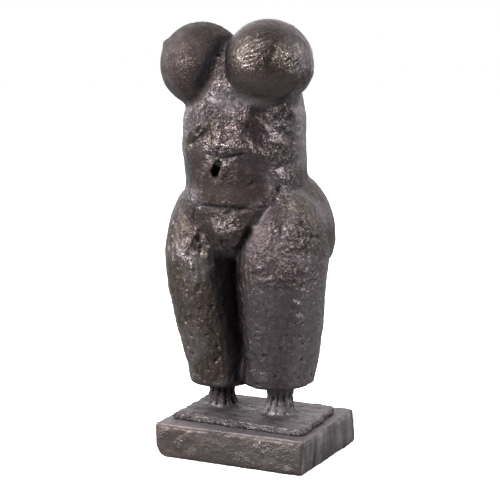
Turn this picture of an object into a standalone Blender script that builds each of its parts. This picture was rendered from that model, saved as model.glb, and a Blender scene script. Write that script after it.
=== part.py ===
"""Cast bronze torso of a woman, standing on a thin rough terrace on a rectangular bronze plinth.

World frame: metres, +Z up, origin at the middle of the plinth's underside, plinth front towards -Y.
Every size below is in millimetres and becomes metres when its mesh is made.
The figure is worked out in a frame of its own: X to its left, -Y out of its belly, Z from the
plinth's underside. That frame is turned a little on the plinth.
"""
import math

import bmesh
import bpy
import numpy as np
from mathutils import Matrix, Vector, noise

MM = 0.001
TOUCH_GAP = 0.3

# The plinth
PLINTH_WIDTH = 160.0
PLINTH_DEPTH = 130.0
PLINTH_HEIGHT = 34.0
PLINTH_CORNER_RADIUS = 3.5
PLINTH_EDGE_RADIUS = 1.4
PLINTH_UNEVEN = 0.55
# How far each lower corner stands off from the upright under its upper one: x sign, y sign, shift
PLINTH_CORNER_LEAN = {
    (-1, -1): (0.5, 0.5),
    (1, -1): (-2.6, -2.4),
    (1, 1): (3.0, -1.0),
    (-1, 1): (1.0, -1.0),
}
# The lower corner at the front of the right side is knocked round
WORN_CORNER = (-80.0, -65.0, 0.0)
WORN_REACH = 11.0
WORN_DEPTH = 4.5

# The terrace under the feet, cast in one with them
TERRACE_CORNERS = {
    (-1, -1): (-72.0, -45.0),
    (1, -1): (71.5, -52.0),
    (1, 1): (68.5, 46.0),
    (-1, 1): (-71.0, 47.0),
}
TERRACE_THICKNESS_FRONT = 5.2
TERRACE_THICKNESS_BACK = 6.9
TERRACE_RAGGED = 1.7
TERRACE_UNEVEN = 0.7

# Where the figure stands on the plinth, and how far it is turned towards its right
FIGURE_X = -8.0
FIGURE_Y = 8.0
FIGURE_TURN = math.radians(5.0)

# Breasts, near-round, whose tops are the top of the whole piece. Right, then left:
# middle, radius, and the way that the nipple points
BREASTS = (
    ((-35.3, -34.0, 381.0), 40.6, (-0.756, -0.427, 0.5)),
    ((37.4, -34.0, 381.7), 42.5, (0.79, -0.57, 0.2)),
)
NIPPLE_RADIUS = 4.6

# Legs end in a blunt hem over two short stumps of ankles. Right, then left:
# side, height of the hem, distance of the ankle from the middle, how far the toes lie to the left
LEGS = ((-1, 64.5, 35.0, 0.3), (1, 69.0, 31.5, 2.8))
HEM_ROUNDING = 4.5
TOE_COUNT = 4
TOE_SPREAD = 18.0

# Where the joins of the body's masses are softened: the range of forward shift over which the
# softening sets in, then the ranges of height over which it sets in and fades
SOFT_BEHIND = ((4.0, 18.0), (205.0, 217.0), (900.0, 800.0))
SOFT_IN_FRONT = ((-24.0, -36.0), (208.0, 218.0), (268.0, 256.0))

# The furrow of the spine, from the buttocks up to the shoulders
SPINE_DEPTH = 2.6
SPINE_HALF_WIDTH = 7.0
SPINE_LOW_Z = 250.0
SPINE_HIGH_Z = 385.0

# How finely the fused form is made, and how many triangles the casting keeps
VOXEL = 2.2
SMOOTHING_PASSES = 6
SOFTENING_PASSES = 60
FIGURE_TRIANGLES = 8700
PLINTH_TRIANGLES = 900

# Cross sections of the trunk, from the crotch to the rounded top behind the breasts:
# height, forward shift, half width, half depth
TRUNK_SECTIONS = (
    (197.0, -8.0, 44.0, 36.0),
    (210.0, -8.0, 62.0, 47.0),
    (225.0, -8.0, 67.0, 51.5),
    (240.0, -8.6, 65.5, 57.5),
    (248.0, -9.0, 63.0, 60.5),
    (256.0, -9.2, 60.0, 61.7),
    (268.0, -8.9, 57.2, 61.5),
    (284.0, -11.2, 57.6, 60.3),
    (302.0, -14.8, 58.8, 58.5),
    (320.0, -14.5, 58.6, 57.5),
    (338.0, -13.0, 57.8, 55.0),
    (349.0, -10.5, 54.5, 52.0),
    (362.0, -8.0, 50.5, 47.5),
    (375.0, -6.0, 44.0, 42.0),
    (387.0, -5.0, 34.0, 33.5),
    (396.0, -5.0, 20.0, 20.5),
)

# Cross sections of one leg, from just over the hem to the hip: height, distance from the
# middle, forward shift, half width, half depth
LEG_SECTIONS = (
    (75.0, 31.0, 0.0, 33.6, 39.0),
    (95.0, 34.6, -1.8, 34.2, 41.0),
    (132.0, 38.3, -6.8, 37.4, 44.0),
    (174.0, 40.5, -11.5, 40.3, 47.0),
    (198.0, 41.3, -10.5, 41.0, 50.0),
    (215.0, 41.0, -9.0, 39.6, 50.0),
    (233.0, 38.5, -8.0, 38.6, 48.0),
    (245.0, 35.5, -8.0, 36.8, 46.0),
    (256.0, 31.0, -8.0, 35.0, 43.0),
    (266.0, 25.0, -9.0, 29.0, 38.0),
)

# Cross sections of one buttock: height, distance from the middle, backward shift, half
# width, half depth
BUTTOCK_SECTIONS = (
    (184.0, 37.0, 16.0, 16.0, 16.0),
    (187.0, 37.0, 17.5, 28.0, 28.0),
    (192.0, 37.0, 19.0, 34.8, 35.0),
    (204.0, 37.0, 20.0, 39.0, 40.3),
    (220.0, 36.5, 20.0, 40.0, 42.4),
    (234.0, 34.8, 19.5, 39.4, 42.0),
    (248.0, 32.0, 18.0, 38.1, 39.5),
    (260.0, 28.5, 16.0, 34.8, 35.5),
    (270.0, 25.0, 13.0, 30.3, 31.5),
    (280.0, 20.0, 8.0, 20.0, 24.0),
)

# Cross sections of the wedge of breastbone between the breasts
BREASTBONE_SECTIONS = (
    (334.0, -47.0, 42.0, 16.5),
    (348.0, -49.0, 33.0, 16.0),
    (364.0, -50.0, 21.5, 14.5),
    (374.0, -49.0, 14.5, 12.5),
    (390.0, -45.0, 8.5, 10.0),
    (401.0, -40.0, 4.0, 6.0),
)

# Cross sections of the flat triangular mound between the thighs, up to the belly fold
MOUND_SECTIONS = (
    (195.0, -32.0, 6.0, 9.0),
    (205.0, -35.0, 15.0, 17.0),
    (216.0, -38.5, 26.0, 20.5),
    (229.0, -41.0, 38.0, 22.0),
    (240.0, -43.0, 45.0, 22.5),
    (249.0, -44.0, 49.0, 22.0),
)

# Cross sections of one ankle: height, forward shift, half width, half depth
ANKLE_SECTIONS = (
    (35.5, -2.0, 16.0, 16.0),
    (41.0, -2.0, 15.0, 15.5),
    (48.0, 0.0, 13.0, 12.5),
    (55.0, 1.0, 12.0, 11.5),
    (62.0, 1.0, 13.5, 13.0),
    (76.0, 0.0, 20.0, 20.0),
)

# Creases, seams and laid-on strips of clay on the trunk and thighs. Girth is the distance
# round the trunk from the middle of the belly, at this radius, positive to the figure's left.
GIRTH_RADIUS = 60.0
GIRTH_CENTRE_Y = -12.0
# Height (below zero is cut in), half width, then the path as (girth, height) points
MARKS = (
    # navel, a slanting slit with a pellet beside it
    (-6.0, 2.4, ((4.5, 290.0), (0.0, 279.0))),
    (1.6, 4.0, ((10.0, 287.0), (9.5, 280.0))),
    # fold under the belly
    (-1.5, 1.7, ((-24.0, 250.5), (-5.0, 250.0), (25.0, 248.5), (40.0, 250.0))),
    # groin creases, left and right thigh
    (-2.6, 2.6, ((64.0, 266.0), (55.0, 257.0), (46.0, 246.0), (40.0, 237.0), (33.0, 225.0))),
    (-3.6, 2.8, ((33.0, 225.0), (24.0, 211.0), (14.0, 198.0))),
    (-1.0, 1.8, ((-24.0, 250.5), (-30.0, 240.0), (-32.0, 230.0))),
    (-2.6, 2.6, ((-30.0, 223.0), (-31.0, 213.0), (-29.0, 203.0))),
    # cleft at the foot of the mound
    (-2.8, 1.9, ((3.5, 220.0), (4.5, 213.0), (4.0, 203.0))),
    # laid-on lump over the navel and the seam under it
    (1.8, 5.5, ((6.0, 303.0), (15.0, 308.0), (26.0, 308.0), (34.0, 302.0))),
    (-0.9, 1.8, ((15.0, 298.5), (22.0, 298.5), (30.0, 301.5), (38.0, 308.0))),
    # rough ribs on the right, and the strip down the middle of the chest
    (1.8, 4.5, ((-33.0, 313.0), (-21.0, 322.0), (-10.0, 329.0))),
    (-1.2, 2.6, ((-29.0, 307.0), (-17.0, 314.0), (-5.0, 320.0))),
    (2.0, 5.0, ((-9.0, 341.0), (-2.0, 332.0), (2.0, 320.0), (6.0, 310.0))),
    # ribs on the left flank
    (1.6, 4.2, ((54.0, 337.0), (66.0, 330.0), (77.0, 320.0))),
    (1.3, 4.2, ((49.0, 322.0), (59.0, 313.0), (71.0, 305.0))),
    # lumps over the left hip bone and on the left thigh
    (1.8, 5.0, ((64.0, 278.0), (78.0, 272.0), (72.0, 264.0))),
    (1.6, 5.5, ((82.0, 240.0), (86.0, 228.0), (78.0, 216.0))),
    # edge of the belly panel on the right side
    (1.2, 2.0, ((-12.0, 290.0), (-15.0, 274.0), (-17.0, 255.0))),
)


def between_sections(sections, step):
    """Sections on smooth curves through the given ones, one every step of height."""
    table = np.array(sections, float)
    heights = table[:, 0]
    count = max(2, int(round((heights[-1] - heights[0]) / step)) + 1)
    wanted = np.linspace(heights[0], heights[-1], count)
    slopes = np.gradient(table[:, 1:], heights, axis=0)
    rows = []
    for height in wanted:
        low = min(int(np.searchsorted(heights, height, side="right")) - 1, len(heights) - 2)
        span = heights[low + 1] - heights[low]
        t = (height - heights[low]) / span
        start = table[low, 1:]
        end = table[low + 1, 1:]
        row = ((2 * t ** 3 - 3 * t ** 2 + 1) * start + (t ** 3 - 2 * t ** 2 + t) * span * slopes[low]
               + (3 * t ** 2 - 2 * t ** 3) * end + (t ** 3 - t ** 2) * span * slopes[low + 1])
        rows.append((height, *row))
    return rows


def add_loft(bm, sections, power=2.0, sides=56):
    """Skin a closed body over (height, x, y, half width, half depth) sections."""
    rings = []
    for height, x, y, half_width, half_depth in sections:
        ring = []
        for i in range(sides):
            angle = 2 * math.pi * i / sides
            c, s = math.cos(angle), math.sin(angle)
            across = x + half_width * math.copysign(abs(c) ** (2 / power), c)
            deep = y + half_depth * math.copysign(abs(s) ** (2 / power), s)
            ring.append(bm.verts.new((across, deep, height)))
        rings.append(ring)
    for lower, upper in zip(rings, rings[1:]):
        for i in range(sides):
            j = (i + 1) % sides
            bm.faces.new((lower[i], lower[j], upper[j], upper[i]))
    bm.faces.new(list(reversed(rings[0])))
    bm.faces.new(rings[-1])


def add_ball(bm, centre, radii, turn=None):
    """An ellipsoid, optionally turned by a 4x4 rotation."""
    matrix = Matrix.Translation(Vector(centre))
    if turn is not None:
        matrix = matrix @ turn
    matrix = matrix @ Matrix.Diagonal((*radii, 1.0))
    bmesh.ops.create_icosphere(bm, subdivisions=4, radius=1.0, matrix=matrix)


def add_trunk(bm):
    sections = [(z, 0.0, y, a, b) for z, y, a, b in between_sections(TRUNK_SECTIONS, 4.0)]
    add_loft(bm, sections, power=2.15)


def add_legs(bm):
    for side, hem, _ankle, _toes in LEGS:
        shaft = [(z, side * x, y, a, b) for z, x, y, a, b in between_sections(LEG_SECTIONS, 5.0)]
        _z, x, y, a, b = shaft[0]
        hem_roll = []
        for angle in (0.0, 30.0, 60.0):
            tuck = HEM_ROUNDING * (1 - math.sin(math.radians(angle)))
            lift = HEM_ROUNDING * (1 - math.cos(math.radians(angle)))
            hem_roll.append((hem + lift, x, y, a - tuck, b - tuck))
        add_loft(bm, hem_roll + shaft, power=2.2)


def add_buttocks(bm):
    for side in (-1, 1):
        sections = between_sections(BUTTOCK_SECTIONS, 3.0)
        add_loft(bm, [(z, side * x, y, a, b) for z, x, y, a, b in sections], sides=40)


def add_breasts(bm):
    for centre, radius, out in BREASTS:
        add_ball(bm, centre, (radius,) * 3)
        nipple = Vector(centre) + Vector(out).normalized() * (radius - 1.6)
        add_ball(bm, nipple, (NIPPLE_RADIUS,) * 3)


def add_front_wedges(bm):
    """The breastbone between the breasts, and the mound between the thighs."""
    for wedge in (BREASTBONE_SECTIONS, MOUND_SECTIONS):
        sections = [(z, 0.0, y, a, b) for z, y, a, b in between_sections(wedge, 4.0)]
        add_loft(bm, sections, sides=40)


def add_feet(bm):
    for side, _hem, ankle_x, toe_shift in LEGS:
        sections = [(z, side * ankle_x, y, a, b) for z, y, a, b in between_sections(ANKLE_SECTIONS, 3.0)]
        add_loft(bm, sections, power=2.4, sides=32)
        for toe in range(TOE_COUNT):
            spread = (toe - (TOE_COUNT - 1) / 2) / (TOE_COUNT - 1)
            x = side * ankle_x + toe_shift + spread * TOE_SPREAD
            y = -12.0 + 8.0 * abs(spread)
            turn = Matrix.Rotation(spread * 0.9, 4, "Z") @ Matrix.Rotation(math.radians(52), 4, "X")
            add_ball(bm, (x, y, 46.5), (3.3, 13.0, 4.0), turn)


def in_corners(corners, u, v):
    """The point at u, v of a four-cornered plan, each from -1 to 1."""
    point = Vector((0.0, 0.0))
    for (side_x, side_y), corner in corners.items():
        point += Vector(corner) * ((1 + side_x * u) * (1 + side_y * v) / 4)
    return point


def add_terrace(bm):
    """A rough-edged slab, made in the world frame."""
    count = 220
    squareness = 16
    bottom = PLINTH_HEIGHT + TOUCH_GAP
    lower = []
    upper = []
    for i in range(count):
        angle = 2 * math.pi * i / count
        c, s = math.cos(angle), math.sin(angle)
        reach = (abs(c) ** squareness + abs(s) ** squareness) ** (-1 / squareness)
        edge = in_corners(TERRACE_CORNERS, reach * c, reach * s)
        outward = edge.normalized()
        edge += outward * TERRACE_RAGGED * noise.noise(Vector((edge.x * 0.09, edge.y * 0.09, 3.0)))
        back = 0.5 + 0.5 * reach * s
        top = bottom + TERRACE_THICKNESS_FRONT + (TERRACE_THICKNESS_BACK - TERRACE_THICKNESS_FRONT) * back
        inner = edge - outward
        lower.append(bm.verts.new((edge.x, edge.y, bottom - 1.0)))
        upper.append(bm.verts.new((inner.x, inner.y, top)))
    for i in range(count):
        j = (i + 1) % count
        bm.faces.new((lower[i], lower[j], upper[j], upper[i]))
    bm.faces.new(list(reversed(lower)))
    bm.faces.new(upper)


def fused(bm, name):
    """One skin round everything in bm, as points and faces in millimetres."""
    bmesh.ops.triangulate(bm, faces=bm.faces[:])
    mesh = bpy.data.meshes.new(name)
    bm.to_mesh(mesh)
    bm.free()
    lump = bpy.data.objects.new(name, mesh)
    bpy.context.scene.collection.objects.link(lump)
    remesh = lump.modifiers.new("fuse", "REMESH")
    remesh.mode = "VOXEL"
    remesh.voxel_size = VOXEL
    graph = bpy.context.evaluated_depsgraph_get()
    skin = bpy.data.meshes.new_from_object(lump.evaluated_get(graph))
    bpy.data.objects.remove(lump)
    bpy.data.meshes.remove(mesh)
    return skin


def points_of(mesh):
    values = np.empty(len(mesh.vertices) * 3)
    mesh.vertices.foreach_get("co", values)
    return values.reshape(-1, 3)


def normals_of(mesh):
    mesh.update()
    values = np.empty(len(mesh.vertices) * 3)
    mesh.vertices.foreach_get("normal", values)
    return values.reshape(-1, 3)


def set_points(mesh, points):
    mesh.vertices.foreach_set("co", points.ravel())
    mesh.update()


def smooth(mesh, passes, share=1.0):
    """Even out the skin, swelling back after each pass so that it doesn't shrink.

    share says how much each point follows, from 0, not at all, to 1.
    """
    edges = np.empty(len(mesh.edges) * 2, dtype=np.int64)
    mesh.edges.foreach_get("vertices", edges)
    a, b = edges.reshape(-1, 2).T
    points = points_of(mesh)
    degree = np.bincount(np.concatenate((a, b)), minlength=len(points))[:, None]
    for _ in range(passes):
        for factor in (0.55, -0.57):
            total = np.zeros_like(points)
            for axis in range(3):
                total[:, axis] = np.bincount(a, points[b, axis], len(points))
                total[:, axis] += np.bincount(b, points[a, axis], len(points))
            points += factor * share * (total / degree - points)
    set_points(mesh, points)


def ramp(values, start, end):
    """From 0 at start to 1 at end, and level beyond them."""
    return np.clip((values - start) / (end - start), 0.0, 1.0)


def soften(mesh):
    """Run the buttocks into the hips and back, and the mound into the thighs and belly."""
    _x, y, z = points_of(mesh).T
    share = np.zeros(len(y))
    for depths, rise, fall in (SOFT_BEHIND, SOFT_IN_FRONT):
        share = np.maximum(share, ramp(y, *depths) * ramp(z, *rise) * ramp(z, *fall))
    smooth(mesh, SOFTENING_PASSES, share[:, None])


def roughness(points, grain, seed):
    """Smooth noise of about one unit at each point, with lumps about grain across."""
    offset = Vector((seed * 7.3, seed * 3.1, seed * 5.7))
    return np.array([noise.noise(Vector(p) / grain + offset) for p in points])


def distance_to_path(flat, path):
    """How far each flat point is from an open path."""
    nearest = np.full(len(flat), np.inf)
    for start, end in zip(path, path[1:]):
        start = np.array(start)
        run = np.array(end) - start
        along = np.clip((flat - start) @ run / (run @ run), 0.0, 1.0)
        nearest = np.minimum(nearest, np.linalg.norm(flat - start - along[:, None] * run, axis=1))
    return nearest


def model_surface(mesh):
    """Cut the creases and raise the clay strips. The points are in the figure's own frame."""
    points = points_of(mesh)
    normals = normals_of(mesh)
    girth = GIRTH_RADIUS * np.arctan2(points[:, 0], -(points[:, 1] - GIRTH_CENTRE_Y))
    flat = np.column_stack((girth, points[:, 2]))
    facing = np.clip(-normals[:, 1] * 1.6 + 0.9, 0.0, 1.0)
    push = np.zeros(len(points))
    for height, half_width, path in MARKS:
        push += height * np.exp(-(distance_to_path(flat, path) / half_width) ** 2)
    push *= facing
    x, y, z = points.T
    in_spine = ramp(z, SPINE_LOW_Z, SPINE_LOW_Z + 15.0) * ramp(z, SPINE_HIGH_Z, SPINE_HIGH_Z - 25.0)
    in_spine *= ramp(y, 10.0, 20.0)
    push -= SPINE_DEPTH * in_spine * np.exp(-(x / SPINE_HALF_WIDTH) ** 2)
    set_points(mesh, points + normals * push[:, None])


def figure_to_world():
    """The place of the figure's own frame on the plinth, in millimetres."""
    return Matrix.Translation((FIGURE_X, FIGURE_Y, 0.0)) @ Matrix.Rotation(-FIGURE_TURN, 4, "Z")


def bronze(name, colour, roughness):
    material = bpy.data.materials.new(name)
    material.use_nodes = True
    shader = material.node_tree.nodes["Principled BSDF"]
    shader.inputs["Base Color"].default_value = (*colour, 1.0)
    shader.inputs["Metallic"].default_value = 1.0
    shader.inputs["Roughness"].default_value = roughness
    return material


def add_object(name, mesh, material):
    piece = bpy.data.objects.new(name, mesh)
    bpy.context.scene.collection.objects.link(piece)
    mesh.materials.clear()
    mesh.materials.append(material)
    return piece


def add_casting(name, mesh, triangles, material):
    """The finished skin as an object, with only as many faces as its form needs."""
    piece = add_object(name, mesh, material)
    for polygon in mesh.polygons:
        polygon.use_smooth = True
    fewer = piece.modifiers.new("fewer faces", "DECIMATE")
    fewer.ratio = triangles / (2 * len(mesh.polygons))
    return piece


def make_figure():
    bm = bmesh.new()
    add_trunk(bm)
    add_legs(bm)
    add_buttocks(bm)
    add_breasts(bm)
    add_front_wedges(bm)
    add_feet(bm)
    bmesh.ops.transform(bm, matrix=figure_to_world(), verts=bm.verts[:])
    add_terrace(bm)
    skin = fused(bm, "torso_figure")
    smooth(skin, SMOOTHING_PASSES)
    skin.transform(figure_to_world().inverted())
    soften(skin)
    model_surface(skin)
    skin.transform(figure_to_world())

    points = points_of(skin)
    bottom = PLINTH_HEIGHT + TOUCH_GAP
    low = points[:, 2] < bottom + 1.0
    on_top = (points[:, 2] < bottom + 10.0) & ~low
    points[on_top, 2] += TERRACE_UNEVEN * roughness(points[on_top], 11.0, 1)
    points[low, 2] = bottom
    set_points(skin, points * MM)
    return add_casting("torso_figure", skin, FIGURE_TRIANGLES,
                       bronze("bronze_figure", (0.10, 0.085, 0.075), 0.42))


def make_plinth():
    bm = bmesh.new()
    bmesh.ops.create_cube(bm, size=2.0)
    for vert in bm.verts:
        side = (round(vert.co.x), round(vert.co.y))
        lean = PLINTH_CORNER_LEAN[side] if vert.co.z < 0 else (0.0, 0.0)
        vert.co.x = side[0] * PLINTH_WIDTH / 2 + lean[0]
        vert.co.y = side[1] * PLINTH_DEPTH / 2 + lean[1]
        vert.co.z = PLINTH_HEIGHT if vert.co.z > 0 else 0.0
    upright = [e for e in bm.edges if abs(e.verts[0].co.z - e.verts[1].co.z) > PLINTH_HEIGHT / 2]
    bmesh.ops.bevel(bm, geom=upright, offset=PLINTH_CORNER_RADIUS, segments=4, profile=0.5,
                    affect="EDGES", clamp_overlap=True)
    rims = [e for e in bm.edges if abs(e.verts[0].co.z - e.verts[1].co.z) < 0.01]
    bmesh.ops.bevel(bm, geom=rims, offset=PLINTH_EDGE_RADIUS, segments=2, profile=0.5,
                    affect="EDGES", clamp_overlap=True)
    skin = fused(bm, "plinth")

    points = points_of(skin)
    normals = normals_of(skin)
    on_side = (points[:, 2] > 1.0) & (points[:, 2] < PLINTH_HEIGHT - 1.0)
    push = np.where(on_side, PLINTH_UNEVEN * roughness(points, 16.0, 2), 0.0)
    away = np.linalg.norm(points - np.array(WORN_CORNER), axis=1)
    push -= WORN_DEPTH * np.clip(1 - away / WORN_REACH, 0.0, 1.0)
    points += normals * push[:, None]
    points[points[:, 2] < 0.9, 2] = 0.0
    points[points[:, 2] > PLINTH_HEIGHT - 0.6, 2] = PLINTH_HEIGHT
    set_points(skin, points * MM)
    return add_casting("plinth", skin, PLINTH_TRIANGLES, bronze("bronze_plinth", (0.12, 0.10, 0.09), 0.5))


for leftover in list(bpy.data.objects):
    bpy.data.objects.remove(leftover)
make_plinth()
make_figure()
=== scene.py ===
"""Looks of a bronze table sculpture: a headless torso on its terrace, and the plinth under it.

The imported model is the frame. Each casting is made here as a fine skin over its solid, with the
marks of hands and tools, and with a patina of its own. Sizes are in millimetres until a skin is
put in place.
"""

import math

import bpy
import numpy as np
from mathutils import Matrix, Vector, noise


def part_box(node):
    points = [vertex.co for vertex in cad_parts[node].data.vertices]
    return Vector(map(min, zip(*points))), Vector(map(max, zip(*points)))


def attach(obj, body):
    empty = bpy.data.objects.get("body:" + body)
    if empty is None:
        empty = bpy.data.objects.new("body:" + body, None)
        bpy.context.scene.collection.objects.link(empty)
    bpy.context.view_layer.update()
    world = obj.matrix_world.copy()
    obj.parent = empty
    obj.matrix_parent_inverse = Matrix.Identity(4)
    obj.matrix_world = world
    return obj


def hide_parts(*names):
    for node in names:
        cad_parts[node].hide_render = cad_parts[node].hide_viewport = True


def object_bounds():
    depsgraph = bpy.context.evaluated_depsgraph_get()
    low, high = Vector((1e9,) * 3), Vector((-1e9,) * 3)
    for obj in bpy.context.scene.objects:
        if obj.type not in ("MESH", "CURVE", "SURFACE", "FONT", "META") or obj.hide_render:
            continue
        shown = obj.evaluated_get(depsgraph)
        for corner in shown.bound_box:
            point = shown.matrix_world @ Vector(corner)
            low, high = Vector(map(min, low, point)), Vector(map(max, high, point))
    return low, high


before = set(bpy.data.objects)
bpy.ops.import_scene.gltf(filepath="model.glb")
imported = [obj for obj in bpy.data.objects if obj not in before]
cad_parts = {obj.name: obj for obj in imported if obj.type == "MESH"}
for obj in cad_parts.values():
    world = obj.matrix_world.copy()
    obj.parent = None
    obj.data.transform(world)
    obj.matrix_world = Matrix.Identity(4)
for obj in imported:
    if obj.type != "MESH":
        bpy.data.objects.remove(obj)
cad_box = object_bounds()


# The plinth: a low block, cast hollow in bronze from a block of clay and open underneath.
# Its faces were scraped flat with a toothed tool and its edges rounded by hand; it stands on
# its own rim.
MM = 0.001
PLINTH_CELL = 1.2
# Passes that flatten its faces, and passes that even out the steps of either skin's net
PLINTH_FLATTENING = 40
LAST_SMOOTHING = 3
# Distances from an edge: flattening starts at the first of these and is full at the second
FACE_FLATTENED = (0.8, 3.5)
# The dents along an edge end at the first of these and are full at the second
EDGE_DENTED = (5.0, 1.0)
# Marks, as layers of lumps: height, size of a lump, seed, and how far it is drawn out along x, y and z
ROUND = (1.0, 1.0, 1.0)
SCRAPES = ((0.22, 2.6, 11, (1.0, 1.0, 9.0)), (0.55, 8.0, 12, (1.0, 1.0, 5.0)))
FACE_MARKS = ((0.11, 2.6, 14, ROUND), (0.07, 2.6, 15, (5.0, 5.0, 1.0)))
EDGE_DENTS = ((0.45, 7.0, 44, ROUND), (0.35, 3.0, 45, ROUND))
EDGE_LOSS = 0.35
POCK_DEPTH = 0.22
TOP_SCRATCH_DEPTH = 0.12
# A grain as fine as the clay's own wouldn't show in the render, so it is drawn this coarse
PLINTH_GRAIN = 1.5
PLINTH_BUMP = 1.0
# Roughness of the wax, from its best to its dullest
PLINTH_GLOSS = (0.34, 0.48)
PLINTH_TONES = {"first": "#514b4a", "second": "#494342", "warm": "#5d524d", "cold": "#857f84",
                "dulled": "#3b3533", "worn": "#746c6a", "bright": "#8a7d73", "dark": "#1a1616"}


def fine_skin(node, name, cell):
    """A copy of a solid's surface in an even net of faces, one cell wide, in millimetres."""
    rough = bpy.data.objects.new(name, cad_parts[node].data.copy())
    bpy.context.scene.collection.objects.link(rough)
    rough.data.transform(Matrix.Scale(1 / MM, 4))
    net = rough.modifiers.new("net", "REMESH")
    net.mode = "VOXEL"
    net.voxel_size = cell
    graph = bpy.context.evaluated_depsgraph_get()
    skin = bpy.data.meshes.new_from_object(rough.evaluated_get(graph))
    bpy.data.objects.remove(rough)
    skin.name = name
    return skin


def points_of(skin):
    values = np.empty(len(skin.vertices) * 3)
    skin.vertices.foreach_get("co", values)
    return values.reshape(-1, 3)


def normals_of(skin):
    skin.update()
    values = np.empty(len(skin.vertices) * 3)
    skin.vertices.foreach_get("normal", values)
    return values.reshape(-1, 3)


def set_points(skin, points):
    skin.vertices.foreach_set("co", points.ravel())
    skin.update()


def push_out(skin, heights):
    """Raise each point along its normal by its own height."""
    set_points(skin, points_of(skin) + normals_of(skin) * heights[:, None])


def neighbour_mean(skin):
    """A function that gives, for one value or row per point, the mean over its neighbours."""
    ends = np.empty(len(skin.edges) * 2, dtype=np.int64)
    skin.edges.foreach_get("vertices", ends)
    a, b = ends.reshape(-1, 2).T
    count = len(skin.vertices)
    degree = np.bincount(a, minlength=count) + np.bincount(b, minlength=count)

    def mean(values):
        columns = values.reshape(count, -1).T
        total = [np.bincount(a, c[b], count) + np.bincount(b, c[a], count) for c in columns]
        return (np.array(total) / degree).T.reshape(values.shape)

    return mean


def smooth(skin, passes, share=1.0):
    """Even out the skin, and swell it back each time so that it doesn't shrink."""
    mean = neighbour_mean(skin)
    points = points_of(skin)
    for _ in range(passes):
        points += 0.55 * share * (mean(points) - points)
        points -= 0.57 * share * (mean(points) - points)
    set_points(skin, points)


def ramp(values, start, end):
    """From 0 at start to 1 at end, with soft ends, and level beyond them."""
    t = np.clip((values - start) / (end - start), 0.0, 1.0)
    return t * t * (3 - 2 * t)


def noise_shift(seed):
    """Where in the noise a pattern is taken from."""
    return np.array((seed * 7.31, seed * 3.17, seed * 5.71))


def lumps(points, size, seed, stretch=ROUND):
    """Smooth noise from about -1 to 1 at each point, in lumps of one size, drawn out along axes."""
    places = points / (size * np.array(stretch)) + noise_shift(seed)
    return 1.6 * np.array([noise.noise(p) for p in places.tolist()])


def layered(points, layers):
    """The height of several layers of lumps together."""
    return sum(height * lumps(points, size, seed, stretch) for height, size, seed, stretch in layers)


def paint(skin, name, values):
    """Keep one value from 0 to 1 for each point of the skin, for its material to read."""
    layer = skin.attributes.new(name, "FLOAT", "POINT")
    layer.data.foreach_set("value", np.clip(values, 0.0, 1.0).astype(np.float32))


def relief_of(skin):
    """How far each point stands out (above 0) or lies in a hollow (below 0), in millimetres."""
    mean = neighbour_mean(skin)
    points = points_of(skin)
    return mean(((points - mean(points)) * normals_of(skin)).sum(axis=1))


def put_in_place(skin, material, replaced):
    """The finished skin as a piece that stands for a solid, no point of it outside the solid's box."""
    low, high = np.array(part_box(replaced))
    set_points(skin, np.clip(points_of(skin) * MM, low, high))
    for face in skin.polygons:
        face.use_smooth = True
    skin.materials.clear()
    skin.materials.append(material)
    piece = bpy.data.objects.new(skin.name, skin)
    bpy.context.scene.collection.objects.link(piece)
    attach(piece, "root")
    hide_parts(replaced)


def linear(hex_colour):
    """An sRGB hex colour as a linear one, with full alpha."""
    channels = [int(hex_colour[i:i + 2], 16) / 255 for i in (1, 3, 5)]
    return (*[c / 12.92 if c <= 0.04045 else ((c + 0.055) / 1.055) ** 2.4 for c in channels], 1.0)


def add(tree, kind, settings=None, **links):
    """A node with its settings. A link names an input, or i and its number, and gives its value."""
    made = tree.nodes.new(kind)
    for key, value in (settings or {}).items():
        setattr(made, key, value)
    for key, value in links.items():
        place = int(key[1:]) if key[1:].isdigit() else key.replace("_", " ")
        if isinstance(value, bpy.types.NodeSocket):
            tree.links.new(value, made.inputs[place])
        else:
            made.inputs[place].default_value = value
    return made


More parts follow.
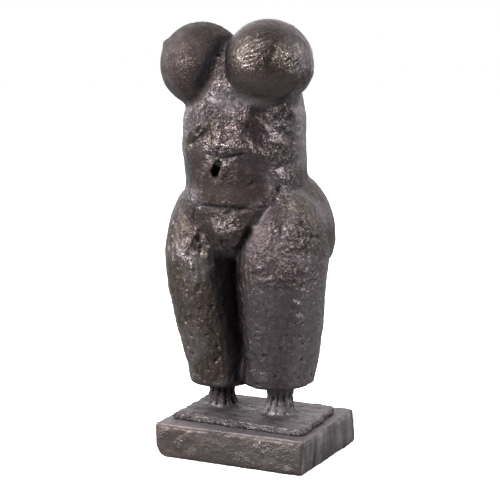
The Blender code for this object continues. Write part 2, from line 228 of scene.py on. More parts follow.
def patinated_bronze(name, tones, grain_mm, bump_mm, gloss):
    """Bronze under a dark waxed patina: half-gloss, mottled, rubbed bright where hands reach it.

    The tones are the patina's two mixed colours, its warm and its cold cast, its dull cast,
    worn tips of the grain, bare metal where it is rubbed, and a near-black for dirt in crevices
    and for painted shade. The cold cast and the bare metal are also painted on as light where the
    skin says so. The grain is that of the clay that was cast, in millimetres, and gloss is the
    wax's roughness from its best to its dullest. What is painted on the skin says where each of
    them goes.
    """
    material = bpy.data.materials.new(name)
    material.use_nodes = True
    tree = material.node_tree
    shader = tree.nodes["Principled BSDF"]
    place = add(tree, "ShaderNodeTexCoord").outputs["Object"]
    in_mm = add(tree, "ShaderNodeMapping", Vector=place, Scale=(1 / MM,) * 3).outputs["Vector"]
    of = {}
    for key in ("crumbled", "warm", "cold", "matt", "rubbed", "hollow"):
        of[key] = add(tree, "ShaderNodeAttribute", {"attribute_name": key}).outputs["Fac"]
    # Clouds of noise: the size of a cloud in millimetres, and the roughness of its detail
    for key, size, rough in (("grain", grain_mm, 0.6), ("coarse", 2.2 * grain_mm, 0.55), ("wax", 5.0, 0.55),
                             ("wear", 6.0, 0.55), ("chill", 7.0, 0.55), ("tint", 8.0, 0.55),
                             ("mottle", 20.0, 0.55)):
        of[key] = add(tree, "ShaderNodeTexNoise", Vector=in_mm, Scale=1 / size, Detail=3.0,
                      Roughness=rough).outputs["Fac"]
    # Shares cut out of them: from where to where in the noise, and the share at either end
    for key, source, low, high, least, most in (
            ("tips", "grain", 0.54, 0.61, 0.0, 1.0), ("pits", "grain", 0.475, 0.40, 0.0, 1.0),
            ("second", "mottle", 0.35, 0.65, 0.0, 1.0), ("tinted", "tint", 0.3, 0.62, 0.35, 1.0),
            ("chilled", "chill", 0.3, 0.62, 0.5, 1.0), ("worn", "wear", 0.35, 0.65, 0.15, 0.8),
            ("waxed", "wax", 0.3, 0.7, *gloss), ("glints", "tips", 0.0, 1.0, 0.2, 1.0),
            ("dulled", "matt", 0.5, 1.0, 0.0, 0.9), ("crumbs", "crumbled", 0.0, 1.0, 0.16, 1.0)):
        of[key] = add(tree, "ShaderNodeMapRange", {"clamp": True}, Value=of[source], From_Min=low,
                      From_Max=high, To_Min=least, To_Max=most).outputs["Result"]
    # What is painted, and where the noise leaves it
    for key, operation, a, b in (
            ("warm", "MULTIPLY", "warm", "tinted"), ("cold", "MULTIPLY", "cold", "chilled"),
            ("tips", "MULTIPLY", "tips", "crumbled"), ("worn", "MULTIPLY", "tips", "worn"),
            ("bright", "MULTIPLY", "rubbed", "glints"), ("pits", "MULTIPLY", "pits", "crumbled"),
            ("dark", "MAXIMUM", "hollow", "pits"), ("height", "ADD", "grain", "coarse"),
            ("height", "MULTIPLY", "height", "crumbs")):
        of[key] = add(tree, "ShaderNodeMath", {"operation": operation}, i0=of[a], i1=of[b]).outputs["Value"]
    colour = linear(tones["first"])
    for key in ("second", "warm", "cold", "dulled", "worn", "bright", "dark"):
        colour = add(tree, "ShaderNodeMix", {"data_type": "RGBA"}, i0=of[key], i6=colour,
                     i7=linear(tones[key])).outputs[2]
    tree.links.new(colour, shader.inputs["Base Color"])
    rough = of["waxed"]
    for key, roughness in (("matt", 0.75), ("bright", 0.2), ("dark", 0.7)):
        rough = add(tree, "ShaderNodeMix", i0=of[key], i2=rough, i3=roughness).outputs[0]
    tree.links.new(rough, shader.inputs["Roughness"])
    # The near-black of dirt and painted shade covers part of the metal
    metal = add(tree, "ShaderNodeMix", i0=of["dark"], i2=1.0, i3=0.75).outputs[0]
    tree.links.new(metal, shader.inputs["Metallic"])
    bump = add(tree, "ShaderNodeBump", Height=of["height"], Strength=1.0, Distance=bump_mm * MM)
    tree.links.new(bump.outputs["Normal"], shader.inputs["Normal"])
    return material


plinth = fine_skin("plinth", "plinth_block", PLINTH_CELL)
low, high = np.array(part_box("plinth")) / MM
from_side = (high - low) / 2 - np.abs(points_of(plinth) - (low + high) / 2)
from_edge = np.sort(from_side, axis=1)[:, 1]
smooth(plinth, PLINTH_FLATTENING, ramp(from_edge, *FACE_FLATTENED)[:, None])
smooth(plinth, LAST_SMOOTHING)

# The marks of tools on its left end, on its other faces, along its edges and on top
points, normals = points_of(plinth), normals_of(plinth)
height = points[:, 2]
edges = ramp(from_edge, *EDGE_DENTED)
upright = ramp(np.abs(normals[:, 2]), 0.7, 0.3)
on_top = ramp(normals[:, 2], 0.7, 0.95)
left_end = ramp(normals[:, 0], 0.5, 0.9)
between_rims = ramp(height, 0.3, 2.5) * ramp(height, high[2] - 0.2, high[2] - 2.5)
pocks = POCK_DEPTH * np.minimum(lumps(points, 5.0, 13) + 0.1, 0.0)
marks = left_end * layered(points, SCRAPES) + (1 - left_end) * (layered(points, FACE_MARKS) + pocks)
scratches = TOP_SCRATCH_DEPTH * np.minimum(lumps(points, 4.0, 16, (3.0, 1.0, 1.0)), 0.0)
push_out(plinth, edges * (layered(points, EDGE_DENTS) - EDGE_LOSS))
push_out(plinth, upright * between_rims * marks)
push_out(plinth, on_top * scratches)

# Its patina: dull along the edges, streaked cold on the left end, warm at the right corner,
# lighter on top as painted reflection, and darker along the edges as painted shade
relief = relief_of(plinth)
points = points_of(plinth)
right_corner = ramp(points[:, 0], 10.0, -60.0) * ramp(points[:, 1], -40.0, -60.0)
streaks = 0.5 + 0.5 * lumps(points, 7.0, 19, (1.0, 1.0, 6.0))
paint(plinth, "crumbled", 0.22 + 0.55 * ramp(lumps(points, 13.0, 18), 0.0, 0.9))
paint(plinth, "warm", 0.7 * right_corner * ramp(lumps(points, 14.0, 17), -0.3, 0.4))
# Painted reflection: the top is given half of the light cold cast
paint(plinth, "cold", np.maximum(left_end * streaks, 0.5 * on_top))
paint(plinth, "matt", np.maximum(0.8 * edges, 0.5 * on_top))
paint(plinth, "rubbed", 0.15 * ramp(relief, 0.03, 0.12) * (1 - edges))
# Patina in the hollows, and painted shade along the edges
paint(plinth, "hollow", np.maximum(0.6 * ramp(relief, -0.04, -0.14), 0.3 * edges))
# Bronze cast from scraped clay, then patinated and waxed thin: a dull, even grain with few glints
scraped_bronze = patinated_bronze("scraped_bronze", PLINTH_TONES, PLINTH_GRAIN, PLINTH_BUMP, PLINTH_GLOSS)
put_in_place(plinth, scraped_bronze, "plinth")


# The figure and the terrace under it: one hollow casting in bronze, modelled first in clay.
# Breasts, belly and limbs were worked smooth with the palm, and pellets, pads and strips of
# clay were left as they were pressed on, with cracks where they part.
FIGURE_CELL = 1.5
FIGURE_SMOOTHING = 30
# Where the figure stands on the plinth, and how far it is turned towards its right
FIGURE_X = -8.0
FIGURE_Y = 8.0
FIGURE_TURN = math.radians(5.0)
# Heights: the plinth's top, the terrace's top, the lower end of the legs, the top of the ankles,
# the top of the thighs, and the foot of the breasts
PLINTH_TOP = 34.0
TERRACE_TOP = 41.0
LEGS_END = 66.0
ANKLE_TOP = 70.0
THIGH_TOP = 240.0
BREAST_FOOT = 338.0
# Girth is the distance round the trunk from the middle of the belly, at this radius
GIRTH_RADIUS = 60.0
GIRTH_CENTRE_Y = -12.0

# The breasts: middle and radius of the right one and of the left one
RIGHT_BREAST = (-35.3, -34.0, 381.0)
LEFT_BREAST = (37.4, -34.0, 381.7)
BREASTS = ((RIGHT_BREAST, 40.6), (LEFT_BREAST, 42.5))
# The crease under the left breast: passes that fill it, how far off the ball they end and are full,
# and how far, at which height and over which spread of heights it is lifted
CREASE_PASSES = 100
CREASE_REACH = (18.0, 5.0)
LIFT = 3.5
LIFT_HEIGHT = 342.0
LIFT_SPREAD = 20.0
# The lip of the left thigh along the groin as (girth, height) points, the passes that round it
# off, and how far from it they end and are full
GROIN_LIP = ((57.0, 251.0), (49.0, 243.0), (44.0, 234.0))
LIP_PASSES = 25
LIP_REACH = (9.0, 3.0)

# Spots on the trunk and legs are given as girth, height, reach round and reach up.
# The smooth belly below the navel, the mound, and the two thighs
SMOOTH_BELLY = (14.0, 268.0, 46.0, 24.0)
MOUND = (9.0, 231.0, 20.0, 14.0)
RIGHT_THIGH = (-40.0, 225.0, 18.0, 26.0)
LEFT_THIGH = (58.0, 205.0, 34.0, 45.0)
# Crumbled clay: spot and strength
CRUMBLED = (
    (1.0, 380.0, 9.0, 22.0, 0.85), (7.0, 360.0, 20.0, 12.0, 0.75), (3.0, 334.0, 24.0, 17.0, 0.8),
    (-14.0, 320.0, 14.0, 14.0, 0.8), (14.0, 318.0, 18.0, 10.0, 0.6), (10.0, 306.0, 24.0, 9.0, 0.5),
    (6.0, 287.0, 14.0, 9.0, 0.7), (68.0, 332.0, 17.0, 16.0, 1.0), (66.0, 300.0, 24.0, 13.0, 0.7),
    (78.0, 275.0, 16.0, 17.0, 0.7), (62.0, 258.0, 16.0, 10.0, 0.6), (10.0, 236.0, 24.0, 17.0, 0.85),
    (16.0, 278.0, 13.0, 10.0, 0.5), (-36.0, 222.0, 15.0, 23.0, 0.5), (76.0, 225.0, 22.0, 22.0, 0.65),
    (50.0, 206.0, 17.0, 26.0, 0.4), (66.0, 195.0, 22.0, 13.0, 0.5), (60.0, 180.0, 22.0, 8.0, 0.45),
)
# The same on the breasts: middle, reach, strength
CRUMBLED_ON_BREASTS = (((40.0, -72.0, 396.0), 15.0, 0.7), ((71.0, -58.0, 390.0), 15.0, 0.9),
                       ((-30.0, -74.0, 384.0), 14.0, 0.5))
# Where hands have rubbed the trunk to bare metal. On the mound, the first, the bare metal is also
# painted light, for a highlight its downward slope doesn't catch
RUBBED_SPOTS = ((10.0, 236.0, 20.0, 13.0), (3.3, 308.0, 5.0, 5.0))
# Painted shade over spots of the left thigh and the chest: spot and strength
PAINTED_SHADE_SPOTS = ((44.0, 210.0, 13.0, 32.0, 0.35), (16.0, 351.0, 20.0, 11.0, 0.6), (-2.0, 336.0, 20.0, 12.0, 0.35))

# Layers of lumps, as on the plinth: the clay as a whole, crumbled clay, the right leg, the
# terrace's rim, and its top
CLAY = ((0.28, 12.0, 23, ROUND), (0.1, 4.5, 24, ROUND))
CRUMBS = ((0.3, 7.0, 33, ROUND), (0.4, 3.8, 25, ROUND))
RIGHT_LEG_RIDGES = ((0.4, 4.5, 49, (1.0, 1.0, 2.0)),)
RIM_LUMPS = ((1.0, 5.0, 34, ROUND), (0.5, 2.8, 43, ROUND))
TERRACE_MARKS = ((0.4, 9.0, 36, ROUND), (0.35, 3.4, 37, (3.0, 1.0, 1.0)))
PELLET = 8.0
PELLET_HEIGHT = 1.1
STROKE_HEIGHT = 0.42
# The ladder of ridges on the left breast, as (x, z) points, the step of its rungs and their height
DRAGGED = ((50.0, 405.0), (44.5, 395.0), (40.5, 386.0))
RUNG_STEP = 4.4
RUNG_HEIGHT = 0.9
# The ankles' middles, how far back the wrinkles fan out from, and how many there would be all round
ANKLES_X = (-35.0, 32.5)
ANKLE_Y = -2.0
FOLDS_FROM_Y = 2.0
FOLDS = 13
FOLD_DEPTH = 1.9

# Pads of clay pressed on: thickness, half width, path of (girth, height) points
PADS = (
    (1.5, 7.0, ((10.0, 304.0), (18.0, 307.0), (30.0, 308.0))),
    (1.2, 4.5, ((-24.0, 318.0), (-12.0, 326.0), (-4.0, 333.0))),
    (1.0, 3.2, ((-22.0, 311.0), (-12.0, 318.0))),
    (1.3, 5.5, ((-6.0, 341.0), (2.0, 333.0), (4.0, 322.0), (4.0, 311.0))),
    (0.9, 4.0, ((8.0, 343.0), (20.0, 339.0))),
    (1.8, 2.6, ((60.0, 338.0), (70.0, 334.0))),
    (1.8, 2.6, ((64.0, 327.5), (73.0, 321.5))),
    (1.6, 2.6, ((72.5, 339.0), (82.5, 335.5))),
    (1.0, 1.8, ((53.5, 312.0), (58.5, 310.0))),
    (1.0, 1.8, ((66.0, 310.0), (71.0, 308.5))),
    (0.9, 4.0, ((66.0, 282.0), (76.0, 276.0))),
    (0.9, 4.0, ((82.0, 283.0), (91.0, 268.0))),
    (1.0, 2.5, ((-31.0, 217.0), (-29.0, 208.0), (-26.5, 199.0))),
    (1.2, 3.4, ((-40.0, 214.0), (-45.0, 200.0), (-38.0, 190.0))),
    (1.1, 2.6, ((77.0, 239.5), (80.5, 233.0), (75.0, 227.0), (76.5, 219.5), (73.0, 213.0))),
    (1.0, 2.4, ((72.0, 194.5), (77.5, 189.0))),
    (0.5, 2.2, ((46.0, 181.5), (53.0, 184.5), (62.5, 184.5), (72.0, 179.0))),
    (1.5, 3.0, ((75.0, 145.0), (76.5, 141.5))),
    (1.3, 2.4, ((69.0, 160.0), (73.0, 158.0))),
    (1.1, 2.6, ((9.6, 286.5), (9.4, 281.5))),
)
# Half the width of a pad's sloping edge
PAD_EDGE = 0.9
# Cracks and cuts, and fillings with a depth below 0: depth, half width, path of (girth, height) points
CUTS = (
    (-4.2, 12.0, ((3.0, 228.0), (15.0, 228.0))),
    (1.6, 5.0, ((-10.0, 246.5), (28.0, 246.5))),
    (5.0, 3.0, ((5.2, 290.0), (2.4, 286.0))),
    (5.5, 2.7, ((2.4, 286.0), (-2.8, 279.0))),
    (2.6, 1.5, ((6.4, 304.6), (4.9, 299.9))),
    (0.9, 1.3, ((8.3, 310.8), (17.0, 316.0), (26.2, 317.6), (35.2, 314.6))),
    (1.0, 1.4, ((-7.7, 298.3), (2.2, 296.9), (16.9, 296.8), (28.5, 299.3), (36.0, 301.8))),
    (2.0, 1.5, ((-24.8, 316.0), (-17.0, 321.0), (-10.2, 328.5), (-2.6, 337.4))),
    (1.6, 1.3, ((-27.0, 309.0), (-12.0, 316.0))),
    (1.1, 1.2, ((-26.8, 248.4), (-9.8, 249.7), (13.0, 249.1), (23.3, 248.5), (42.3, 248.7), (56.4, 252.1))),
    (1.2, 1.4, ((67.0, 267.6), (56.4, 252.1), (47.5, 245.2), (42.8, 235.7), (35.9, 230.3))),
    (1.6, 1.5, ((35.9, 230.3), (31.6, 218.7), (22.9, 207.0))),
    (1.7, 1.3, ((-26.2, 248.4), (-35.5, 236.3), (-37.1, 228.8))),
    (1.8, 1.4, ((-34.3, 218.2), (-33.7, 204.9))),
    (2.4, 1.5, ((-0.4, 215.8), (-0.1, 205.3))),
    (0.9, 1.2, ((-12.7, 282.9), (-16.9, 267.0), (-21.0, 250.8))),
    (1.3, 1.1, ((60.6, 235.0), (58.2, 225.0))),
    (1.3, 1.4, ((83.5, 221.3), (94.9, 219.4))),
    (0.5, 1.2, ((45.5, 178.5), (52.4, 181.0), (62.7, 181.0), (72.2, 175.5))),
)
# A cut deeper than this is painted darker, a little wider than itself: dirt in it, and painted shade
DARKENED_CUT = 1.2
CUT_DARK_SPREAD = 0.7
# Pits: girth, height
PITS = (
    (5.8, 333.9), (-3.5, 336.4), (37.8, 273.0), (35.4, 271.2), (67.0, 127.1), (64.8, 113.9), (79.5, 124.7),
    (84.2, 116.9), (86.9, 100.1), (-52.2, 117.1), (-58.0, 97.8), (-72.2, 78.0), (-27.3, 149.5),
    (-36.6, 92.9), (-35.2, 80.0), (-30.8, 100.0), (-37.3, 119.7), (68.1, 180.5), (75.7, 192.1),
)
PIT_DEPTH = 1.5
PIT_RADIUS = 1.7
# Pits strewn over the legs: how many, the seed that places them, their depths and their radii
LOOSE_PITS = 110
LOOSE_PIT_SEED = 7
LOOSE_PIT_DEPTHS = (0.6, 1.6)
LOOSE_PIT_RADII = (1.2, 1.9)
# A band of painted shade in the crease inside the right breast, as (girth, height) points, and its half width
BREAST_GROOVE = ((-10.6, 406.2), (-8.6, 400.6), (-9.9, 387.8), (-12.2, 380.5), (-19.4, 363.7))
GROOVE_WIDTH = 6.0

# The grain is drawn this coarse so that it shows, as on the plinth
FIGURE_GRAIN = 2.1
FIGURE_BUMP = 2.4
FIGURE_GLOSS = (0.20, 0.33)
FIGURE_TONES = {"first": "#3f3639", "second": "#433b3c", "warm": "#423a30", "cold": "#7c767a",
                "dulled": "#2d2625", "worn": "#877f7e", "bright": "#a5998b", "dark": "#100b11"}


def girth_of(points):
    return GIRTH_RADIUS * np.arctan2(points[:, 0], GIRTH_CENTRE_Y - points[:, 1])


def distance_from(points, middle):
    return np.linalg.norm(points - np.array(middle), axis=1)


def distance_to_path(flat, path):
    """How far each flat point is from an open path."""
    nearest = np.full(len(flat), np.inf)
    for start, end in zip(path, path[1:]):
        start = np.array(start)
        run = np.array(end) - start
        along = np.clip((flat - start) @ run / (run @ run), 0.0, 1.0)
        nearest = np.minimum(nearest, np.linalg.norm(flat - start - along[:, None] * run, axis=1))
    return nearest


def off_spot(flat, spot):
    """How far each (girth, height) point is from a spot's middle: 1 at the spot's reach."""
    middle, height, reach, rise = spot
    return np.hypot((flat[:, 0] - middle) / reach, (flat[:, 1] - height) / rise)


def fill_in(skin, passes, share):
    """Round hollows and lips off, where the share says so."""
    mean = neighbour_mean(skin)
    points = points_of(skin)
    for _ in range(passes):
        points += 0.6 * share[:, None] * (mean(points) - points)
    set_points(skin, points)


def pellets(points, size, seed):
    """Heights of pellets of clay pressed on side by side, each tilted its own way, about -1 to 1."""
    heights = []
    for p in (points / size + noise_shift(seed)).tolist():
        distances, middles = noise.voronoi(p)
        tilt = noise.cell_vector(middles[0] * 37.0) - Vector((0.5, 0.5, 0.5))
        crack = min((distances[1] - distances[0]) / 0.16, 1.0)
        heights.append(2.4 * tilt.dot(Vector(p) - middles[0]) - 0.6 * (1 - crack))
    return np.array(heights)


stand = Matrix.Translation((FIGURE_X, FIGURE_Y, 0.0)) @ Matrix.Rotation(-FIGURE_TURN, 4, "Z")
figure = fine_skin("torso_figure", "torso_and_terrace", FIGURE_CELL)
figure.transform(stand.inverted())
smooth(figure, FIGURE_SMOOTHING, ramp(points_of(figure)[:, 2], LEGS_END, LEGS_END + 18.0)[:, None])
smooth(figure, LAST_SMOOTHING)

# The left breast hangs less low than a ball would, and runs on into the flank: the crease
# under it is filled and lifted. The lip of the left thigh is rounded off
x, y, z = points_of(figure).T
middle, radius = BREASTS[1]
off_ball = np.abs(distance_from(points_of(figure), middle) - radius)
under_ball = ramp(z, middle[2] - 14.0, middle[2] - 26.0) * ramp(y, 5.0, -10.0)
fill_in(figure, CREASE_PASSES, ramp(off_ball, *CREASE_REACH) * under_ball)
points = points_of(figure)
x, y, z = points.T
lift = LIFT * np.exp(-((z - LIFT_HEIGHT) / LIFT_SPREAD) ** 2)
lift *= ramp(x, -8.0, 18.0) * ramp(x, 92.0, 66.0) * ramp(y, -8.0, -28.0)
points[:, 2] += lift
set_points(figure, points)
lip = ramp(distance_to_path(np.column_stack((girth_of(points), points[:, 2])), GROIN_LIP), *LIP_REACH)
fill_in(figure, LIP_PASSES, lip * ramp(y, 0.0, -10.0))

# The parts of the figure, each with a share from 0 to 1 at every point
points, normals = points_of(figure), normals_of(figure)
x, y, z = points.T
girth = girth_of(points)
flat = np.column_stack((girth, z))
ragged = lumps(points, 7.0, 21)
front = ramp(-normals[:, 1], -0.5, 0.0)
body = ramp(z, LEGS_END, LEGS_END + 6.0)
above_ankles = ramp(z, LEGS_END, LEGS_END + 8.0)
legs = above_ankles * ramp(z, THIGH_TOP, THIGH_TOP - 50.0)
right_leg = legs * ramp(x, -6.0, -20.0)
between_legs = front * ramp(z, 218.0, 198.0) * above_ankles * ramp(np.abs(girth + 6.0), 28.0, 12.0)
sides = body * ramp(np.abs(girth - 20.0), 40.0, 60.0)
breasts = ramp(z - lift, BREAST_FOOT, BREAST_FOOT + 8.0) * ramp(y, -45.0, -52.0)
breasts *= ramp(np.abs(x - 2.0), 8.0, 16.0)
off_breasts = [distance_from(points, middle) - radius for middle, radius in BREASTS]
breasts *= ramp(np.min(off_breasts, axis=0), 6.0, 3.0)
on_trunk = front * (1 - breasts)
belly = front * ramp(off_spot(flat, SMOOTH_BELLY) + 0.12 * ragged, 1.1, 0.7)
mound = on_trunk * ramp(off_spot(flat, MOUND) + 0.3 * ragged, 1.2, 0.4)
terrace = ramp(z, TERRACE_TOP + 3.5, TERRACE_TOP + 1.2)
terrace_top = terrace * ramp(normals[:, 2], 0.6, 0.9)
rim = terrace * ramp(np.abs(normals[:, 2]), 0.8, 0.4) * ramp(z, PLINTH_TOP + 0.5, PLINTH_TOP + 2.0)
terrace_edge = y[terrace > 0.5].min()
terrace_front = terrace * ramp(y + 3.0 * ragged, terrace_edge + 18.0, terrace_edge + 8.0)
ankles = ramp(z, ANKLE_TOP, ANKLE_TOP - 8.0) * (1 - terrace)
dragged = breasts * ramp(distance_to_path(np.column_stack((x, z)), DRAGGED) + 1.5 * ragged, 7.5, 5.0)

# Where the clay is crumbled
patches = ramp(lumps(points, 30.0, 22) + 0.4 * ragged, 0.1, 0.9) * ramp(z, 160.0, 175.0)
crumbled = 0.12 + 0.3 * body * patches * (1 - breasts) * (1 - belly) + 0.1 * legs * (1 + ragged)
for *spot, strength in CRUMBLED:
    away = off_spot(flat, spot) + 0.2 * ragged
    crumbled = np.maximum(crumbled, strength * on_trunk * ramp(away, 1.35, 0.3))
for middle, reach, strength in CRUMBLED_ON_BREASTS:
    away = distance_from(points, middle) / reach + 0.25 * ragged
    crumbled = np.maximum(crumbled, strength * ramp(away, 1.4, 0.2))
crumbled = np.maximum(crumbled, 0.3 * terrace + 0.45 * ankles + 0.6 * rim + 0.4 * terrace_front)

# The clay's lumps, its crumbs and the gaps between them, and the pellets pressed on
heights = body * layered(points, CLAY) * (1 - 0.5 * breasts)
loose = crumbled * body * (1 - 0.8 * dragged)
heights += loose * (layered(points, CRUMBS) - ramp(lumps(points, 3.2, 26), 0.3, 0.8))
pressed_on = ramp(crumbled, 0.3, 0.9) * body * (1 - 0.8 * breasts) * (1 - dragged)
heights += PELLET_HEIGHT * pressed_on * pellets(points, PELLET, 46)

# A ladder of short ridges down the left breast, where a tool dragged the clay
rungs = np.cos(2 * np.pi * (z - 0.3 * x + 0.7 * lumps(points, 7.0, 42)) / RUNG_STEP)
heights += RUNG_HEIGHT * dragged * rungs

# The legs and the sides, drawn upwards with the tool, and the right leg rougher
heights += 0.2 * legs * lumps(points, 5.5, 40, (1.0, 1.0, 2.5))
heights += right_leg * layered(points, RIGHT_LEG_RIDGES)
heights -= 0.9 * right_leg * ramp(lumps(points, 4.2, 50, (1.0, 1.0, 2.5)), 0.3, 0.75)
strokes = lumps(points, 3.2, 27, (1.0, 1.0, 6.0))
heights += STROKE_HEIGHT * strokes * np.maximum(legs * (1 - between_legs), sides) * (1 - breasts)

# The terrace's lumpy rim, slumped on to the plinth, and its brushed top
heights += rim * (layered(points, RIM_LUMPS) - 0.6 * ramp(lumps(points, 3.2, 35), 0.2, 0.7))
heights += terrace_top * layered(points, TERRACE_MARKS)
heights -= 0.8 * terrace_top * terrace_front * ramp(lumps(points, 3.6, 51, (2.0, 1.0, 1.0)), 0.1, 0.7)
slumped = ramp(z, PLINTH_TOP + 4.0, PLINTH_TOP + 1.5) * ramp(normals[:, 2], -0.95, -0.6)
heights += slumped * (0.9 + 0.8 * lumps(points, 6.0, 47))

# The wrinkled stumps of the feet
for middle in ANKLES_X:
    around = np.arctan2(x - middle, FOLDS_FROM_Y - y)
    near = ramp(np.hypot(x - middle, y - ANKLE_Y), 27.0, 21.0) * ramp(z, 64.0, 56.0)
    near *= ramp(z, TERRACE_TOP, TERRACE_TOP + 2.0)
    creases = ramp(np.cos(FOLDS * around + 1.2 * lumps(points, 9.0, 38)), -0.1, -0.8)
    heights += near * (0.7 - FOLD_DEPTH * creases + 0.5 * lumps(points, 3.6, 39))

# Pads, cracks and pits, along paths that waver a little
waver = np.column_stack((lumps(points, 6.0, 28), lumps(points, 6.0, 29)))
for thickness, half_width, path in PADS:
    away = distance_to_path(flat + 1.1 * waver, path)
    heights += thickness * on_trunk * ramp(away, half_width + PAD_EDGE, half_width - PAD_EDGE)
depth_changes = ramp(lumps(points, 6.0, 30), -0.9, 0.5)
cut_dirt_and_shade = np.zeros(len(points))
for depth, half_width, path in CUTS:
    away = distance_to_path(flat + waver, path)
    share = 1.0 if depth < 0 else depth_changes
    heights -= depth * share * on_trunk * np.exp(-(away / half_width) ** 2)
    # Deeper cuts are painted darker: dirt in them, and painted shade
    if depth > DARKENED_CUT:
        cut_dirt_and_shade = np.maximum(cut_dirt_and_shade, 0.75 * on_trunk * np.exp(-(away / (half_width + CUT_DARK_SPREAD)) ** 2))
for middle, height in PITS:
    away = np.hypot(girth - middle, z - height)
    heights -= PIT_DEPTH * on_trunk * np.exp(-(away / PIT_RADIUS) ** 2)
chance = np.random.default_rng(LOOSE_PIT_SEED)
for spot in points[chance.choice(np.flatnonzero(legs > 0.5), LOOSE_PITS)]:
    near = np.flatnonzero(np.abs(points - spot).max(axis=1) < 5.0)
    depth, radius = chance.uniform(*LOOSE_PIT_DEPTHS), chance.uniform(*LOOSE_PIT_RADII)
    heights[near] -= depth * np.exp(-(distance_from(points[near], spot) / radius) ** 2)
push_out(figure, heights)

# Where its patina is rubbed through: high spots, most of all those that hands reach
relief = relief_of(figure)
points = points_of(figure)
# On the mound the rubbed bare metal is also painted light
handled = [on_trunk * ramp(off_spot(flat, spot) + 0.3 * ragged, 1.1, 0.4) for spot in RUBBED_SPOTS]
handled += [strength * ramp(distance_from(points, middle) / reach + 0.3 * ragged, 1.0, 0.4)
            for middle, reach, strength in CRUMBLED_ON_BREASTS[:2]]
rubbed = (0.25 + 0.75 * np.max(handled, axis=0)) * ramp(relief, 0.0, 0.12) * np.maximum(body, 0.1)
between_feet = terrace_top * np.exp(-((x - 9.0) / 18.0) ** 2 - ((y + 6.0) / 9.0) ** 2)

# Where it is darkened: patina in hollows, dirt and painted shade in the deeper cuts; and painted
# shade in the groove, between the legs, on the terrace's sides (mottled, darker towards their
# foot), round the feet, over the shaded spots and the rounded lip, and thinly on the breasts' tops
# Painted shade along the crease inside the right breast
groove = np.exp(-(distance_to_path(flat, BREAST_GROOVE) / GROOVE_WIDTH) ** 2)
groove *= ramp(x, 2.0, -5.0) * ramp(z, 352.0, 360.0)
# The terrace's sides, painted darker, mottled and most towards their foot
terrace_side_dark = 0.15 + 0.3 * ragged + 0.15 * ramp(z, PLINTH_TOP + 5.5, PLINTH_TOP + 2.0)
# Painted shade round the right foot and on the terrace about it
right_foot = np.exp(-((x - ANKLES_X[0]) / 24.0) ** 2 - ((y - ANKLE_Y) / 20.0) ** 2)
dirt_and_painted_shade = [ramp(relief, -0.05, -0.2), cut_dirt_and_shade, 0.9 * groove, 0.95 * between_legs,
         terrace * ramp(normals[:, 2], 0.97, 0.6) * terrace_side_dark,
         0.6 * right_foot * ramp(z, ANKLE_TOP, ANKLE_TOP - 8.0), 0.35 * ankles,
         0.5 * lip, 0.16 * ramp(z, 386.0, 402.0)]
dirt_and_painted_shade += [strength * front * ramp(off_spot(flat, spot) + 0.2 * ragged, 1.3, 0.6)
          for *spot, strength in PAINTED_SHADE_SPOTS]

# Where it is dull: the right breast and the belly, and less so under the breasts, on the mound, the
# thighs, the ankles, the terrace and the back
right_breast = ramp(distance_from(points, RIGHT_BREAST), 50.0, 43.0) * (0.94 + 0.08 * ragged)
under_breasts = breasts * ramp(z, 372.0, 350.0)
dull = (right_breast, belly, 0.5 * mound, 0.5 * under_breasts, 0.5 * terrace, 0.45 * ankles,
        0.6 * ramp(off_spot(flat, RIGHT_THIGH), 1.2, 0.6),
        0.25 * front * ramp(off_spot(flat, LEFT_THIGH), 1.2, 0.7),
        0.5 * body * ramp(np.abs(girth - 22.0), 66.0, 98.0))

# Where it is warm: in clouds, on the right leg and the breasts
clouds = 0.8 * ramp(lumps(points, 24.0, 31), 0.0, 0.8) * (1 - 0.8 * legs * ramp(x, -8.0, 8.0))
warm = (clouds, 0.75 * legs * ramp(x, 0.0, -16.0), 0.5 * breasts)

# Where it is cold: in clouds, and a little over the lower left leg. And painted light: on the flanks
# towards the silhouette, the outer edge of the left leg, the undersides of the breasts and the mound,
# and on the terrace, over brushed streaks, as painted reflection that grows towards its right end
# Painted rim light on the flanks, lighter towards the silhouette
left_flank = ramp(girth, 78.0, 100.0) * np.maximum(ramp(z, 278.0, 290.0), ramp(z, 205.0, 190.0))
left_flank *= 1 - 0.5 * ramp(z, BREAST_FOOT, BREAST_FOOT + 12.0)
right_flank = ramp(girth, -32.0, -46.0) * ramp(z, 255.0, 270.0)
painted_rim_light = body * np.max((right_flank, 0.5 * ramp(girth, -55.0, -75.0), left_flank), axis=0)
painted_rim_light *= ramp(np.abs(girth) + 8.0 * ragged, 150.0, 110.0) * (1 - 0.3 * legs)
# The terrace: brushed streaks, and painted reflection, lighter towards the right end
brushed = 0.45 + 0.35 * lumps(points, 6.0, 48, (4.0, 1.0, 1.0)) + 0.35 * ramp(x, 35.0, 60.0)
left_leg = ramp(z, 185.0, 165.0) * (0.16 * ramp(x, 0.0, 10.0) + 0.35 * ramp(girth, 66.0, 84.0))
# Painted light on the undersides of the breasts and on the mound
cold = (0.35 * ramp(lumps(points, 30.0, 32), 0.0, 0.8), terrace * brushed * (1 - 0.5 * rim), left_leg,
        0.15 * mound, 0.3 * under_breasts, 0.85 * painted_rim_light)

paint(figure, "crumbled", crumbled)
paint(figure, "rubbed", np.maximum(rubbed, between_feet * (0.8 + 0.4 * ragged)))
# Patina, dirt and painted shade, as one near-black
paint(figure, "hollow", np.max(dirt_and_painted_shade, axis=0))
paint(figure, "matt", np.max(dull, axis=0))
paint(figure, "warm", np.max(warm, axis=0))
# The cold cast, in places painted light
paint(figure, "cold", np.max(cold, axis=0))
figure.transform(stand)
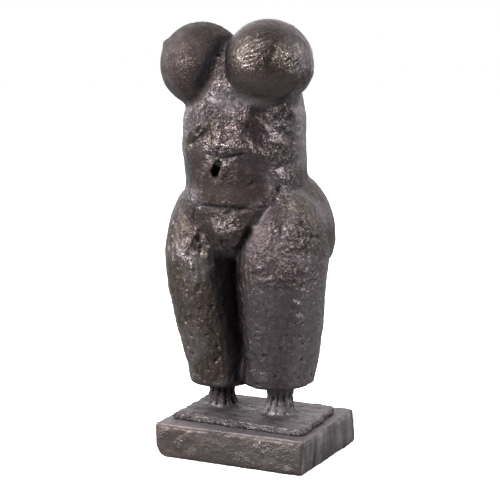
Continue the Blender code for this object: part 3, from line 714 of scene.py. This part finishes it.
# Bronze cast from hand-worked clay under a dark brown patina, waxed and handled: glossy on what
# the palm smoothed, glittering where the clay is crumbled
hand_worked_bronze = patinated_bronze("hand_worked_bronze", FIGURE_TONES, FIGURE_GRAIN, FIGURE_BUMP,
                                      FIGURE_GLOSS)
put_in_place(figure, hand_worked_bronze, "torso_figure")


# The floor, the light and the camera.
# A pale studio floor and a white room, a large soft box on either side of the camera, and the
# camera itself a metre and a third away, near the height of the work's top and looking down on it.
CAMERA_TURN = math.radians(24.6)
CAMERA_DOWN = math.radians(8.9)
# Sizes are in metres from here on, and only the lens and the film are in millimetres
CAMERA_AWAY = 1.354
CAMERA_HEIGHT = 0.411
LENS = 100.8
FILM_WIDTH = 36.0
# How far the picture is shifted in its frame, as a share of the frame
SHIFT_X = -0.012
SHIFT_Y = 0.004
# The floor: half its side, and how far it lies below the work
FLOOR_REACH = 8.0
FLOOR_GAP = 0.0002
# Its colour to the camera, the darker one that it throws back, and a glow that only the camera sees
FLOOR_SEEN = "#fafafa"
FLOOR_BOUNCE = "#7c7c7c"
FLOOR_GLOW = 0.5
FLOOR_ROUGHNESS = 0.9
WHITE = (1.0, 1.0, 1.0, 1.0)
# The room's light behind the work and ahead of it, on the camera's side, and where one gives way
# to the other, from -1 right behind to 1 right ahead
ROOM_BEHIND = 1.6
ROOM_AHEAD = 0.25
ROOM_FADES = (-0.3, 0.6)
# Soft boxes: turned from the camera's own direction, raised, distance, width, height, watts
SOFT_BOXES = {
    "left_soft_box": (-60.0, 30.0, 1.8, 0.8, 0.9, 130.0),
    "right_soft_box": (57.0, 24.0, 1.8, 0.5, 0.8, 41.0),
}
# The height on the figure that the soft boxes face
FIGURE_MIDDLE = 0.24

floor_mesh = bpy.data.meshes.new("studio_floor")
corners = [(FLOOR_REACH * a, FLOOR_REACH * b, 0) for a, b in ((-1, -1), (1, -1), (1, 1), (-1, 1))]
floor_mesh.from_pydata(corners, [], [(0, 1, 2, 3)])
floor = bpy.data.objects.new("studio_floor", floor_mesh)
bpy.context.scene.collection.objects.link(floor)
floor.location.z = cad_box[0].z - FLOOR_GAP
# Matt white paint: an even, near-white ground without a shine, grey in what it throws back so
# that the low parts of the bronze stay dark
floor_paint = bpy.data.materials.new("white_floor_paint")
floor_paint.use_nodes = True
tree = floor_paint.node_tree
shader = tree.nodes["Principled BSDF"]
seen = add(tree, "ShaderNodeLightPath").outputs["Is Camera Ray"]
colour = add(tree, "ShaderNodeMix", {"data_type": "RGBA"}, i0=seen, i6=linear(FLOOR_BOUNCE),
             i7=linear(FLOOR_SEEN)).outputs[2]
tree.links.new(colour, shader.inputs["Base Color"])
glow = add(tree, "ShaderNodeMath", {"operation": "MULTIPLY"}, i0=seen, i1=FLOOR_GLOW).outputs["Value"]
tree.links.new(glow, shader.inputs["Emission Strength"])
shader.inputs["Emission Color"].default_value = WHITE
shader.inputs["Roughness"].default_value = FLOOR_ROUGHNESS
floor_mesh.materials.append(floor_paint)

room = bpy.data.worlds.new("white_room")
room.use_nodes = True
tree = room.node_tree
way = add(tree, "ShaderNodeTexCoord").outputs["Generated"]
to_camera = (math.sin(CAMERA_TURN), -math.cos(CAMERA_TURN), 0.0)
ahead = add(tree, "ShaderNodeVectorMath", {"operation": "DOT_PRODUCT"}, i0=way, i1=to_camera).outputs["Value"]
dimmed = add(tree, "ShaderNodeMapRange", {"interpolation_type": "SMOOTHSTEP"}, Value=ahead,
             From_Min=ROOM_FADES[0], From_Max=ROOM_FADES[1], To_Min=ROOM_BEHIND,
             To_Max=ROOM_AHEAD).outputs["Result"]
seen = add(tree, "ShaderNodeLightPath").outputs["Is Camera Ray"]
strength = add(tree, "ShaderNodeMix", i0=seen, i2=dimmed, i3=1.0).outputs[0]
tree.links.new(strength, tree.nodes["Background"].inputs["Strength"])
tree.nodes["Background"].inputs["Color"].default_value = WHITE
bpy.context.scene.world = room

for name, (turned, raised, distance, width, height, watts) in SOFT_BOXES.items():
    angle = CAMERA_TURN + math.radians(turned)
    rise = math.radians(raised)
    way = Vector((math.sin(angle) * math.cos(rise), -math.cos(angle) * math.cos(rise), math.sin(rise)))
    lamp = bpy.data.lights.new(name, "AREA")
    lamp.shape = "RECTANGLE"
    lamp.size = width
    lamp.size_y = height
    lamp.energy = watts
    box = bpy.data.objects.new(name, lamp)
    box.location = Vector((0.0, 0.0, FIGURE_MIDDLE)) + way * distance
    box.rotation_euler = way.to_track_quat("Z", "Y").to_euler()
    bpy.context.scene.collection.objects.link(box)

lens = bpy.data.cameras.new("camera")
lens.sensor_width = FILM_WIDTH
lens.lens = LENS
lens.shift_x = SHIFT_X
lens.shift_y = SHIFT_Y
camera = bpy.data.objects.new("camera", lens)
camera.location = (CAMERA_AWAY * math.sin(CAMERA_TURN), -CAMERA_AWAY * math.cos(CAMERA_TURN), CAMERA_HEIGHT)
camera.rotation_euler = (math.radians(90) - CAMERA_DOWN, 0.0, CAMERA_TURN)
bpy.context.scene.collection.objects.link(camera)
bpy.context.scene.camera = camera
bpy.context.scene.view_settings.view_transform = "Standard"
